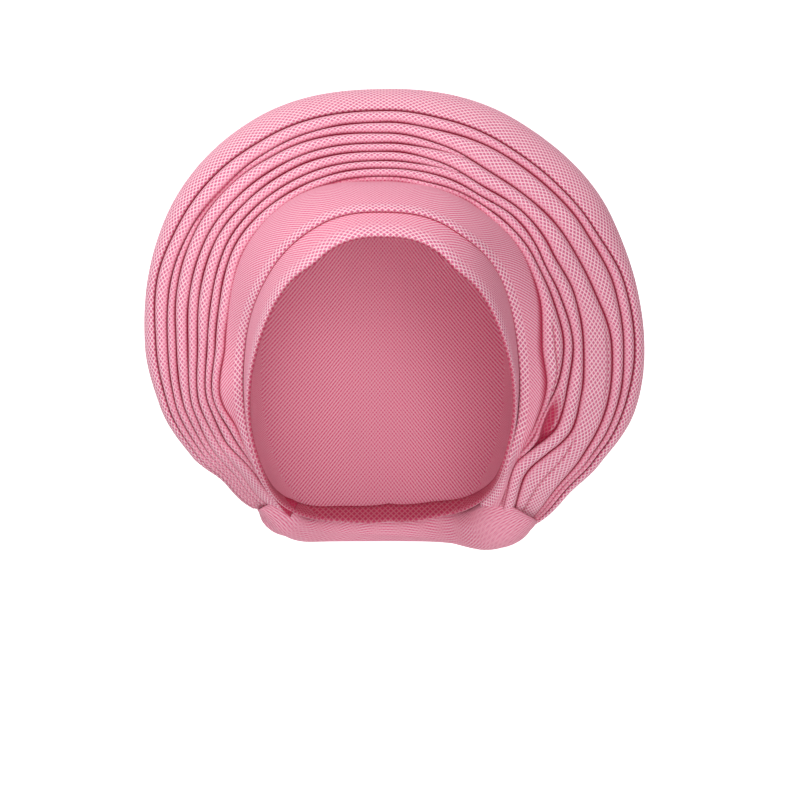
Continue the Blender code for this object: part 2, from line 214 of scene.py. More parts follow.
ARCH = (
    ArchRow(-150, 75.6, 0.06, 75.0, 0.12, 0.20, 0.38),
    ArchRow(-135, 92.0, 0.05, 88.0, 0.16, 0.32, 0.71),
    ArchRow(-120, 95.0, 0.05, 91.8, 0.42, 0.53, 0.78),
    ArchRow(-105, 99.0, 0.06, 94.5, 0.82, 0.64, 0.83),
    ArchRow(-90, 102.3, 0.05, 96.9, 0.64, 0.82, 0.87),
    ArchRow(-60, 118.8, 0.05, 100.0, 0.70, 0.88, 0.89),
    ArchRow(-30, 128.6, 0.05, 101.5, 0.48, 0.91, 0.92),
    ArchRow(0, 130.5, 0.05, 102.4, 0.24, 0.95, 0.93),
    ArchRow(30, 127.6, 0.05, 101.5, 0.41, 0.97, 0.92),
    ArchRow(60, 112.9, 0.05, 100.0, 0.81, 0.98, 0.89),
    ArchRow(90, 102.5, 0.05, 96.9, 0.77, 1.03, 0.87),
    ArchRow(105, 99.0, 0.06, 94.5, 0.92, 0.93, 0.83),
    ArchRow(120, 94.0, 0.08, 91.8, 0.79, 0.72, 0.78),
    ArchRow(135, 92.0, 0.06, 88.0, 0.39, 0.59, 0.71),
    ArchRow(150, 75.6, 0.06, 75.0, 1.15, 0.22, 0.42),
)

FOLD_ANGLES = (-150, -135, -120, -110, -90, -75, -60, -45, -30, 0, 15,
               30, 45, 60, 75, 90, 105, 115, 125, 135, 150)

FOLDS = (
    Fold("pleat_1", -30, 150,
         (-.08, -.08, -.08, -.08, -.08, -.08, -.08, -.08, -.08, -.03, -.06,
          -.03, -.05, -.03, .00, -.02, -.02, -.02, -.07, -.07, -.07)),
    Fold("pleat_2", -135, 150,
         (-.08, -.07, -.06, -.02, -.03, -.05, -.04, -.06, -.06, .01, -.01,
          .01, .03, .06, .13, .19, .09, .01, -.03, -.05, -.05)),
    Fold("pleat_3", -150, 150,
         (-.06, -.03, .08, .10, .09, .08, .09, .06, .03, .10, .09,
          .08, .13, .13, .21, .28, .21, .22, .07, -.03, -.03)),
    Fold("pleat_4", -150, 22.5,
         (-.04, .04, .26, .20, .19, .18, .18, .15, .13, .18, .16,
          .16, .16, .16, .16, .16, .16, .16, .16, .16, .16)),
    Fold("pleat_5", -150, 150,
         (.30, .36, .38, .35, .31, .33, .32, .27, .25, .28, .23,
          .18, .23, .25, .35, .38, .37, .41, .28, .21, .26)),
    Fold("pleat_6", -150, 22.5,
         (.45, .52, .55, .48, .43, .45, .43, .38, .35, .37, .34,
          .33, .33, .33, .33, .33, .33, .33, .33, .33, .33)),
    Fold("pleat_7", -150, 150,
         (.58, .64, .65, .61, .58, .61, .59, .55, .49, .48, .41,
          .35, .38, .45, .55, .66, .67, .71, .74, .78, .73)),
    Fold("pleat_8", -150, 150,
         (.72, .76, .76, .74, .69, .70, .64, .57, .56, .60, .56,
          .58, .60, .66, .76, .78, .78, .82, .83, .84, .80)),
    Fold("rim_drape", -150, 150,
         (.84, .86, .87, .86, .84, .87, .80, .75, .71, .73, .69,
          .68, .69, .75, .87, .89, .86, .89, .89, .91, .87)),
)

SOFT_CREASES = (
    Crease((80, 96, 111), (.07, .09, .01), 0.0010, 0.65),
    Crease((83, 95, 107), (.58, .60, .60), 0.0007, 0.40),
    Crease((114, 130, 150), (.48, .47, .34), 0.0010, 0.65),
)

RIM = len(FOLDS) - 1


def smooth(places: Sequence[float], values: Sequence[float], place: float) -> float:
    """Reads a table at a place, along a smooth curve without overshoot.

    Args:
        places: The table's places, rising.
        values: The value at each.
        place: Where to read it; beyond the ends it keeps the end's value.

    Returns:
        The value at the place.
    """
    place = min(max(place, places[0]), places[-1])
    slopes = [(values[i + 1] - values[i]) / (places[i + 1] - places[i]) for i in range(len(places) - 1)]
    tangents = [slopes[0]]
    for before, after in zip(slopes, slopes[1:]):
        tangents.append(0.0 if before * after <= 0 else 2 * before * after / (before + after))
    tangents.append(slopes[-1])
    i = max(k for k in range(len(places) - 1) if places[k] <= place)
    span = places[i + 1] - places[i]
    t = (place - places[i]) / span
    rise = t * t * (3 - 2 * t)
    return (values[i] * (1 - rise) + values[i + 1] * rise
            + span * (t * (1 - t) ** 2 * tangents[i] - t * t * (1 - t) * tangents[i + 1]))


def column(rows: Sequence[object], name: str, place: float) -> float:
    """A named column of a table of rows, read smoothly at the place of its first column."""
    return smooth([row.at for row in rows], [getattr(row, name) for row in rows], place)


def bezier(points: Sequence[Vector], t: float) -> Vector:
    """The point at share t of the Bezier curve with these control points."""
    while len(points) > 1:
        points = [a.lerp(b, t) for a, b in zip(points, points[1:])]
    return points[0]


def ease(low: float, high: float, place: float) -> float:
    """Rises smoothly from 0 at low to 1 at high."""
    t = min(max((place - low) / (high - low), 0.0), 1.0)
    return t * t * (3 - 2 * t)


def walk(points: Sequence[Vector], zero: int = 0) -> list[float]:
    """How far each point of a line is from one of them, along the line.

    Args:
        points: The line's points.
        zero: The number of the point to measure from.

    Returns:
        The distances, below 0 before that point.
    """
    places = [0.0]
    for before, after in zip(points, points[1:]):
        places.append(places[-1] + (after - before).length)
    return [place - places[zero] for place in places]


def stations(first: float, last: float) -> list[float]:
    """The angles of a sheet's strips, about a degree apart, from the first to the last."""
    count = round(last - first)
    return [first + (last - first) * k / count for k in range(count + 1)]


@dataclass
class Halo:
    """The halo's named sizes, shared by the second wrap, the pleats and the drape."""

    form: Form = field(default_factory=Form)
    cloth: Cloth = field(default_factory=Cloth)
    fan_width: float = 0.060
    fan_depth: float = 0.045
    root_standoff: float = 0.018
    hem_flare: float = 0.005
    pleat_dip: float = 0.0055
    pleat_tuck: float = 0.0040
    dip_power: float = 1.6
    end_angle: float = 150.0
    end_skew: float = 10.0
    skew_run: float = 30.0
    taper_angle: float = 15.0
    taper_least: float = 0.65
    melt: float = 0.85
    melt_start: float = 104.0
    melt_end: float = 128.0
    melt_layer: int = 4
    least_step: float = 0.0002
    under: float = 0.009
    under_least: float = 0.0005
    under_end: float = 0.85
    under_points: int = 4
    nose_points: int = 7
    nose_shade_power: float = 1.2
    crease_width: float = 0.0008
    crease_run_out: float = 6.0
    pocket_angle: float = 117.0
    pocket_spread: float = 8.0
    pocket_share: float = 0.10
    pocket_width: float = 0.0042
    pocket_depth: float = 0.0045
    # How strongly and how far the pocket's shade is painted into the colour.
    pocket_shade: float = 1.8
    pocket_darkest: float = 0.95
    pocket_layers: int = 2
    sections: dict[float, "Section"] = field(default_factory=dict)

    def section(self, station: float) -> "Section":
        """The section at a station, worked out once.

        Args:
            station: The section's angle.

        Returns:
            The section.
        """
        key = round(station, 4)
        if key not in self.sections:
            self.sections[key] = Section(self, station)
        return self.sections[key]

    def cap_lift(self, angle: float, turn: float) -> float:
        """How far the first wrap's inside stands off the head, more towards its hem."""
        share = min(turn / column(HEM, "round", abs(angle)), 1.0)
        return self.hem_flare * column(HEM, "flare", abs(angle)) * share ** 3

    def hairpin_points(self) -> int:
        """How many points a pleat's strip has before its face."""
        return self.under_points + self.nose_points - 1


class Section:
    """The halo in one flat section: the second wrap's fold, the root, the rim and the folds."""

    def __init__(self, halo: Halo, station: float) -> None:
        """Works out the section's base line and the folds along it.

        Args:
            halo: The halo's sizes.
            station: The section's angle.
        """
        form, cloth = halo.form, halo.cloth
        seat = cloth.cap + cloth.gap + cloth.band / 2
        turn, root = column(ARCH, "turn", station), column(ARCH, "root", station)
        self.halo = halo
        self.station = station
        self.puff = halo.root_standoff * column(ARCH, "puff", station)
        self.turn = form.over(station, turn, seat + halo.cap_lift(station, turn) + self.puff)
        self.root = form.over(station, root, seat + halo.root_standoff * column(ARCH, "stand", station))
        rim = self.root + Vector((halo.fan_width * column(ARCH, "width", station),
                                  halo.fan_depth * column(ARCH, "depth", station)))
        slant = rim - self.root
        self.length = slant.length
        self.along = slant.normalized()
        self.up = Vector((self.along.y, -self.along.x))
        near_end = max(0.0, abs(station) - (halo.end_angle - halo.skew_run)) / halo.skew_run
        self.skew = math.copysign(halo.end_skew * near_end, station)
        self.folds = [self.length * smooth(FOLD_ANGLES, fold.shares, station) for fold in FOLDS]
        self.steps = [self.step(layer) for layer in range(len(FOLDS))]

    def step(self, layer: int) -> float:
        """The height of a layer's fold over the one below it.

        Args:
            layer: The layer's number.

        Returns:
            The height, 0 where the layer isn't there.
        """
        fold, halo = FOLDS[layer], self.halo
        if not fold.first <= self.station <= fold.last:
            return 0.0
        weight = 1.0
        for end in (fold.first, fold.last):
            least = halo.taper_least if abs(end) == halo.end_angle else 0.0
            near = min(abs(self.station - end) / halo.taper_angle, 1.0)
            weight *= least + (1 - least) * near
        if layer >= halo.melt_layer:
            weight *= 1 - halo.melt * ease(halo.melt_start, halo.melt_end, -self.station)
        return (halo.cloth.pleat + halo.cloth.gap) * weight

    def radius(self, layer: int) -> float:
        """The radius of a layer's hairpin fold."""
        return max(self.steps[layer], self.halo.least_step) / 2

    def shown(self, layer: int) -> float:
        """How crisp a layer's fold is, from 0 to 1."""
        return min(self.steps[layer] / (self.halo.cloth.pleat + self.halo.cloth.gap), 1.0)

    def layer_over(self, layer: int) -> int:
        """The number of the next layer that is there over this one."""
        return next(k for k in range(layer + 1, len(FOLDS)) if self.steps[k] > 0)

    def pocket(self, layer: int, place: float) -> float:
        """How far into the pocket beside the ear a point of a layer is.

        Args:
            layer: The layer's number.
            place: The point's distance along the base line.

        Returns:
            A share, 0 outside the pocket and 1 at its middle.
        """
        halo = self.halo
        if layer >= halo.pocket_layers:
            return 0.0
        turned = (self.station - halo.pocket_angle) / halo.pocket_spread
        aside = (place - halo.pocket_share * self.length) / halo.pocket_width
        return math.exp(-turned ** 2 - aside ** 2)

    def creased(self, crease: Crease, place: float) -> float:
        """How far into a soft crease a point is; the crease runs out at both ends.

        Args:
            crease: The crease.
            place: The point's distance along the base line.

        Returns:
            A share, 0 outside the crease and 1 at its bottom.
        """
        first, _, last = crease.angles
        run = self.halo.crease_run_out
        run_out = ease(first, first + run, self.station) * ease(-last, run - last, -self.station)
        if run_out == 0:
            return 0.0
        line = self.length * smooth(crease.angles, crease.shares, self.station)
        return run_out * math.exp(-((place - line) / self.halo.crease_width) ** 2)

    def shade_at(self, layer: int, place: float) -> float:
        """How much painted shade the soft creases and the pocket put on a point of a layer's face."""
        darkest = max(crease.darkness * self.creased(crease, place) for crease in SOFT_CREASES)
        return max(darkest, min(self.halo.pocket_shade * self.pocket(layer, place), self.halo.pocket_darkest))

    def top(self, layer: int, place: float) -> float:
        """The height of a layer's face; each fold above presses it down.

        Args:
            layer: The layer's number, -1 for the second wrap.
            place: The distance along the base line.

        Returns:
            The height over the base line.
        """
        halo = self.halo
        height = halo.cloth.gap + halo.cloth.pleat
        height -= halo.pocket_depth * self.pocket(layer, place)
        height -= sum(crease.depth * self.creased(crease, place) for crease in SOFT_CREASES)
        for over in range(layer + 1, len(FOLDS)):
            pressed = (place - self.folds[over]) / halo.pleat_dip + 1
            if self.steps[over] > 0 and pressed > 0:
                height -= self.steps[over] * min(pressed, 1.0) ** halo.dip_power
        return height

    def hairpin(self, layer: int, start: float) -> tuple[list[tuple[float, float]], list[float]]:
        """A layer's hidden edge, short of the rim, and the round nose of its fold.

        Args:
            layer: The layer's number.
            start: Where its fold is along the base line.

        Returns:
            The points as (along, height) from the hidden end on, and the painted shade of each.
        """
        halo, radius = self.halo, self.radius(layer)
        under = max(min(halo.under, halo.under_end * self.length - (start + radius)), halo.under_least)
        line = []
        for k in reversed(range(halo.under_points)):
            place = start + radius + under * k / (halo.under_points - 1)
            line.append((place, self.top(layer, place) - 2 * radius))
        # Painted shade: full on the hidden edge, fading round the nose from its underside.
        hidden = [1.0] * len(line)
        level = self.top(layer, start + radius) - radius
        for k in range(1, halo.nose_points):
            turn = math.pi * k / halo.nose_points
            line.append((start + radius - radius * math.sin(turn), level - radius * math.cos(turn)))
            hidden.append(self.shown(layer) * (1 - k / halo.nose_points) ** halo.nose_shade_power)
        return line, hidden

    def place(self, along: float, height: float) -> Vector:
        """The point in space at a distance along the base line and a height over it."""
        share = min(max(along / self.length, 0.0), 1.0)
        return self.halo.form.in_space(self.station - self.skew * share,
                                       self.root + self.along * along + self.up * height)


def linear_colour(code: str) -> tuple[float, float, float, float]:
    """Turns an sRGB colour into a linear one.

    Args:
        code: The colour as a hex value such as "f082a0".

    Returns:
        Red, green, blue and 1.
    """
    shares = [int(code[k:k + 2], 16) / 255 for k in (0, 2, 4)]
    red, green, blue = (s / 12.92 if s <= 0.04045 else ((s + 0.055) / 1.055) ** 2.4 for s in shares)
    return red, green, blue, 1.0


def add_node(tree: bpy.types.NodeTree, kind: str, inputs: dict[int | str, object] | None = None,
             **settings: object) -> bpy.types.Node:
    """Adds a node with its settings, values and links.

    Args:
        tree: The material's node tree.
        kind: The node's type name.
        inputs: For each input, a socket to link from or a value to set.
        **settings: The node's own properties.

    Returns:
        The new node.
    """
    node = tree.nodes.new(kind)
    for name, value in settings.items():
        setattr(node, name, value)
    for key, value in (inputs or {}).items():
        if isinstance(value, bpy.types.NodeSocket):
            tree.links.new(value, node.inputs[key])
        else:
            node.inputs[key].default_value = value
    return node


@dataclass(frozen=True)
class Damask:
    """Woven damask for head ties: satin ground, and a lattice of pale floating threads.

    The floats are a net of white crosses with a dull dot in each mesh; how strongly they show is a painted
    highlight, set per point near folds and hems and on the pleats' faces.
    Elsewhere the fine slanting rows show instead, on a deeper pink; a crimson painted shade darkens creases,
    the undersides of folds and pockets.
    """

    name: str
    ground: str = "ef83a3"
    shade: str = "e27797"
    # Deeper pink where the painted highlight is low: painted shade on the pleats' noses, and the ground of
    # flat bands.
    deep: str = "dc5f87"
    float_thread: str = "fff0f5"
    dot: str = "a5658a"
    # Crimson of the painted shade in creases, under folds, in pockets and in the knot's grooves.
    nook: str = "b41444"
    mesh_width_mm: float = 3.4
    mesh_height_mm: float = 2.9
    float_share: float = 0.105
    float_fade: tuple[float, float] = (1.5, 0.6)
    dot_share: float = 0.15
    dot_fade: tuple[float, float] = (1.4, 0.6)
    # The real rows are about 0.5 mm apart; they are drawn coarser, as the cloth seems to show
    row_width_mm: float = 2.0
    row_height_mm: float = 2.6
    row_fade: tuple[float, float] = (0.30, 0.10)
    row_strength: float = 0.7
    lean: float = 0.0
    lean_mm: float = 60.0
    # The real ribs of the ground are about 0.25 mm apart; they are drawn coarser to show
    rib_mm: float = 0.9
    rib_relief: float = 0.12
    cloud_scale: float = 38.0
    roughness: float = 0.55
    specular: float = 0.12
    sheen: float = 0.03
    sheen_roughness: float = 0.4
    bump_mm: float = 0.25
    bump_strength: float = 0.6

    def threads(self, tree: bpy.types.NodeTree, flat: bpy.types.Node, width: float,
                height: float) -> list[bpy.types.NodeSocket]:
        """Two families of slanting threads on the cloth.

        Args:
            tree: The material's node tree.
            flat: The node that gives the place on the cloth, in millimetres.
            width: The mesh's size along the cloth, in millimetres.
            height: The mesh's size across the cloth, in millimetres.

        Returns:
            For each family, the distance from its nearest thread: 0 to 0.5 of a mesh.
        """
        along = add_node(tree, "ShaderNodeMath", {0: flat.outputs[0], 1: width}, operation="DIVIDE")
        across = add_node(tree, "ShaderNodeMath", {0: flat.outputs[1], 1: height}, operation="DIVIDE")
        distances = []
        for sign in ("ADD", "SUBTRACT"):
            line = add_node(tree, "ShaderNodeMath", {0: along.outputs[0], 1: across.outputs[0]},
                            operation=sign)
            off = add_node(tree, "ShaderNodeMath", {0: line.outputs[0], 1: 0.5}, operation="PINGPONG")
            distances.append(off.outputs[0])
        return distances

    def rows(self, tree: bpy.types.NodeTree, flat: bpy.types.Node) -> bpy.types.NodeSocket:
        """The fine rows: one family leads on each side of the wearer, and they cross between.

        Args:
            tree: The material's node tree.
            flat: The node that gives the place on the cloth, in millimetres.

        Returns:
            The share of pale thread, 0 to 1.
        """
        begin, full = self.row_fade
        pale = []
        for distance in self.threads(tree, flat, self.row_width_mm, self.row_height_mm):
            row = add_node(tree, "ShaderNodeMapRange",
                           {"Value": distance, "From Min": begin, "From Max": full, "To Min": 0.0,
                            "To Max": 1.0}, interpolation_type="SMOOTHSTEP")
            pale.append(row.outputs[0])
        side = add_node(tree, "ShaderNodeMath",
                        {0: flat.outputs[0], 1: self.lean / self.lean_mm, 2: 0.5},
                        operation="MULTIPLY_ADD", use_clamp=True)
        mix = add_node(tree, "ShaderNodeMix", {0: side.outputs[0], 2: pale[0], 3: pale[1]},
                       data_type="FLOAT")
        return mix.outputs[0]

    def lattice(self, tree: bpy.types.NodeTree, flat: bpy.types.Node,
                glint: bpy.types.NodeSocket) -> list[bpy.types.NodeSocket]:
        """The lattice of floats and the dots in its meshes.

        Args:
            tree: The material's node tree.
            flat: The node that gives the place on the cloth, in millimetres.
            glint: How much the floats show.

        Returns:
            The share of float and the share of dot, 0 to 1.
        """
        offs = self.threads(tree, flat, self.mesh_width_mm, self.mesh_height_mm)
        near = add_node(tree, "ShaderNodeMath", {0: offs[0], 1: offs[1]}, operation="MINIMUM")
        shares = []
        for begin, full in ([self.float_share * k for k in self.float_fade],
                            [0.5 - self.dot_share * k for k in self.dot_fade]):
            share = add_node(tree, "ShaderNodeMapRange",
                             {"Value": near.outputs[0], "From Min": begin, "From Max": full,
                              "To Min": 0.0, "To Max": glint}, interpolation_type="SMOOTHSTEP")
            shares.append(share.outputs[0])
        return shares

    def material(self) -> bpy.types.Material:
        """The finish as a procedural material on the piece's UV map, in millimetres of cloth.

        Returns:
            The material.
        """
        material = bpy.data.materials.new(self.name)
        material.use_nodes = True
        tree = material.node_tree
        shader = tree.nodes["Principled BSDF"]
        uv = add_node(tree, "ShaderNodeUVMap", uv_map=UV_NAME)
        flat = add_node(tree, "ShaderNodeSeparateXYZ", {0: uv.outputs[0]})
        # The painted highlight mark, and the painted shade mark.
        glint = add_node(tree, "ShaderNodeAttribute", attribute_name=GLINT).outputs["Fac"]
        hidden = add_node(tree, "ShaderNodeAttribute", attribute_name=PAINTED_SHADE).outputs["Fac"]
        floats, dots = self.lattice(tree, flat, glint)
        plain = add_node(tree, "ShaderNodeMath", {0: 1.0, 1: glint}, operation="SUBTRACT")
        rows = add_node(tree, "ShaderNodeMath", {0: self.rows(tree, flat), 1: plain.outputs[0]},
                        operation="MULTIPLY")
        place = add_node(tree, "ShaderNodeTexCoord")
        clouds = add_node(tree, "ShaderNodeTexNoise",
                          {"Vector": place.outputs["Object"], "Scale": self.cloud_scale, "Detail": 3.0})
        colour = linear_colour(self.ground)
        # Colour in layers: clouds of tone at random, deeper pink where the painted highlight is low (partly
        # painted shade), pale rows, then dots and floats as strong as the painted highlight, and last the
        # crimson painted shade.
        for share, code, most in ((clouds.outputs[0], self.shade, 0.45),
                                  (plain.outputs[0], self.deep, 0.65),
                                  (rows.outputs[0], self.float_thread, self.row_strength),
                                  (dots, self.dot, 0.85),
                                  (floats, self.float_thread, 0.88),
                                  (hidden, self.nook, 0.92)):
            limited = add_node(tree, "ShaderNodeMath", {0: share, 1: most}, operation="MULTIPLY")
            mix = add_node(tree, "ShaderNodeMix",
                           {0: limited.outputs[0], 6: colour, 7: linear_colour(code)}, data_type="RGBA")
            colour = mix.outputs[2]
        tree.links.new(colour, shader.inputs["Base Color"])
        rib = add_node(tree, "ShaderNodeMath", {0: flat.outputs[1], 1: 2 * math.pi / self.rib_mm},
                       operation="MULTIPLY")
        ribs = add_node(tree, "ShaderNodeMath", {0: rib.outputs[0]}, operation="SINE")
        relief = add_node(tree, "ShaderNodeMath", {0: ribs.outputs[0], 1: self.rib_relief, 2: floats},
                          operation="MULTIPLY_ADD")
        bump = add_node(tree, "ShaderNodeBump", {"Height": relief.outputs[0],
                                                 "Strength": self.bump_strength,
                                                 "Distance": self.bump_mm / MM})
        tree.links.new(bump.outputs[0], shader.inputs["Normal"])
        shader.inputs["Roughness"].default_value = self.roughness
        shader.inputs["Specular IOR Level"].default_value = self.specular
        shader.inputs["Sheen Weight"].default_value = self.sheen
        shader.inputs["Sheen Roughness"].default_value = self.sheen_roughness
        shader.inputs["Sheen Tint"].default_value = linear_colour(self.float_thread)
        return material


@dataclass(frozen=True)
class MattPaper:
    """Seamless studio paper: matt white, without sheen, lit through from behind."""

    name: str = "studio_paper"
    white: str = "f4f4f4"
    roughness: float = 0.9
    specular: float = 0.1
    glow: float = 0.90
    glow_from: float = 1.2
    glow_full: float = 2.4

    def material(self) -> bpy.types.Material:
        """The paper's material, which glows behind the object.

        Returns:
            The material.
        """
        material = bpy.data.materials.new(self.name)
        material.use_nodes = True
        tree = material.node_tree
        shader = tree.nodes["Principled BSDF"]
        shader.inputs["Base Color"].default_value = linear_colour(self.white)
        shader.inputs["Roughness"].default_value = self.roughness
        shader.inputs["Specular IOR Level"].default_value = self.specular
        shader.inputs["Emission Color"].default_value = linear_colour(self.white)
        place = add_node(tree, "ShaderNodeTexCoord")
        parts = add_node(tree, "ShaderNodeSeparateXYZ", {0: place.outputs["Object"]})
        glow = add_node(tree, "ShaderNodeMapRange",
                        {"Value": parts.outputs[1], "From Min": self.glow_from,
                         "From Max": self.glow_full, "To Min": 0.0, "To Max": self.glow})
        tree.links.new(glow.outputs[0], shader.inputs["Emission Strength"])
        return material


def deselect_all() -> None:
    """Deselects every object, so that an operator acts on the new one alone."""
    for thing in bpy.context.selected_objects:
        thing.select_set(False)


@dataclass
class Point:
    """One point of a bent sheet.

    Attributes:
        co: Its place.
        across: Its place across the flat cloth.
        nook: How hidden from the light it is.
        glint: How much painted highlight it has: how strongly its floating threads show.
    """

    co: Vector
    across: float
    nook: float = 0.0
    glint: float = 1.0


@dataclass
class Sheet:
    """A sheet of cloth, bent from a grid.

    Attributes:
        node: The node that it replaces.
        strips: Its points, strip by strip along it, each of as many points across.
        middle: Which point of each strip the length along the cloth is measured at.
        finish: The cloth's finish.
        held: How it keeps its place; not used.
        rests_on: The node whose piece it lies on, if any; not used.
        ply: The thickness of the cloth, which goes inwards.
        closed: Whether the last strip meets the first.
        outwards: 1, or -1 where the sheet's right side would face inwards.
        layers: 2 where the cloth closes on itself, as in a roll or a knot; not used.
    """

    node: str
    strips: list[list[Point]]
    middle: int
    finish: Damask
    held: Held
    rests_on: str = ""
    ply: float = 0.0
    closed: bool = False
    outwards: int = 1
    layers: int = 1

    def bend(self, lengths: list[float]) -> bpy.types.Object:
        """Bends a grid into the sheet, with its marks and its UV map in millimetres.

        Args:
            lengths: How far each strip is along the cloth.

        Returns:
            The sheet's object, at the origin.
        """
        deselect_all()
        count, rows = len(self.strips), len(self.strips[0])
        bpy.ops.mesh.primitive_grid_add(x_subdivisions=count - 1, y_subdivisions=rows - 1, size=1.0,
                                        location=(0, 0, 0))
        piece = bpy.context.object
        mesh = piece.data
        piece.name = mesh.name = self.node + "_cloth"
        spots = []
        for vertex in mesh.vertices:
            i, j = round((vertex.co.x + 0.5) * (count - 1)), round((vertex.co.y + 0.5) * (rows - 1))
            spots.append((i, self.strips[i][j]))
            vertex.co = self.strips[i][j].co
        for name in (PAINTED_SHADE, GLINT):
            marks = mesh.attributes.new(name, "FLOAT", "POINT")
            for mark, (_, point) in zip(marks.data, spots):
                mark.value = getattr(point, name)
        layer = mesh.uv_layers[0]
        layer.name = UV_NAME
        for loop in mesh.loops:
            i, point = spots[loop.vertex_index]
            layer.data[loop.index].uv = ((lengths[i] - lengths[-1] / 2) * MM, point.across * MM)
        shape = bmesh.new()
        shape.from_mesh(mesh)
        if self.closed:
            bmesh.ops.remove_doubles(shape, verts=shape.verts, dist=WELD)
        if self.outwards < 0:
            bmesh.ops.reverse_faces(shape, faces=shape.faces)
        shape.to_mesh(mesh)
        shape.free()
        mesh.shade_smooth()
        mesh.materials.append(self.finish.material())
        if self.ply > 0:
            wall = piece.modifiers.new("ply", "SOLIDIFY")
            wall.thickness = self.ply
            wall.offset = -1
        return piece

    def lay(self) -> bpy.types.Object:
        """Bends the sheet and rides it on the body in place of its node.

        Returns:
            The sheet's object.
        """
        lengths = walk([strip[self.middle].co for strip in self.strips])
        piece = self.bend(lengths)
        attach(piece, BODY)
        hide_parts(self.node)
        return piece


@dataclass
class HeadWrap:
    """The first turn: a cap over the head with a folded hem, open for the face and neck."""

    halo: Halo
    finish: Damask
    spokes: int = 180
    rings: int = 44
    hem_radius: float = 0.0009
    hem_inside: float = 0.012
    hem_points: int = 5
    inside_points: int = 3
    # Painted highlight: the floats show near the hem and little on the flat cap. A painted shadow line runs
    # round the hem's edge and inside its fold.
    hem_band: float = 0.009
    hem_painted_shadow: float = 0.8
    flat_glint: float = 0.15
    seam_turn: float = 62.0

    def strip(self, angle: float) -> list[Point]:
        """The cap from its back to its hem and inside again, in one direction.

        Args:
            angle: The direction.

        Returns:
            The strip's points.
        """
        form, cloth = self.halo.form, self.halo.cloth
        last = column(HEM, "round", abs(angle))
        line = []
        for ring in range(self.rings + 1):
            turn = last * ring / self.rings
            line.append(form.over(angle, turn, cloth.cap + self.halo.cap_lift(angle, turn)))
        way = (line[-1] - line[-2]).normalized()
        inward = Vector((way.y, -way.x))
        if inward.x > 0:
            inward = -inward
        hem = line[-1]
        for k in range(1, self.hem_points + 1):
            turn = math.pi * k / self.hem_points
            line.append(hem + inward * self.hem_radius * (1 - math.cos(turn))
                        + way * self.hem_radius * math.sin(turn))
        for k in range(1, self.inside_points + 1):
            line.append(hem + inward * 2 * self.hem_radius - way * self.hem_inside * k / self.inside_points)
        points = [form.in_space(angle, point) for point in line]
        strip = []
        for co, place in zip(points, walk(points, self.rings)):
            # Painted highlight near the hem; painted shade round the hem's fold and inside it.
            band = ease(-self.hem_band, -0.5 * self.hem_band, place)
            nook = self.hem_painted_shadow * ease(0.3 * self.hem_radius, 1.5 * self.hem_radius, place)
            strip.append(Point(co, place, nook, self.flat_glint + (1 - self.flat_glint) * band))
        return strip

    def make(self) -> None:
        """Builds and dresses the cap."""
        strips = [self.strip(360 * k / self.spokes - 180) for k in range(self.spokes + 1)]
        piece = Sheet("head_wrap", strips, self.rings, self.finish, Held.DRAPED,
                      ply=self.halo.cloth.ply, closed=True).lay()
        self.lay_back_flat(piece)

    def lay_back_flat(self, piece: bpy.types.Object) -> None:
        """Lays the weave of the cap's back straight, as the cloth lies flat there.

        Args:
            piece: The cap's object.
        """
        mesh, layer = piece.data, piece.data.uv_layers[UV_NAME]
        for face in mesh.polygons:
            if face.center.y > self.halo.form.half_length * math.cos(math.radians(self.seam_turn)):
                for k in face.loop_indices:
                    co = mesh.vertices[mesh.loops[k].vertex_index].co
                    layer.data[k].uv = (co.x * MM, co.z * MM)


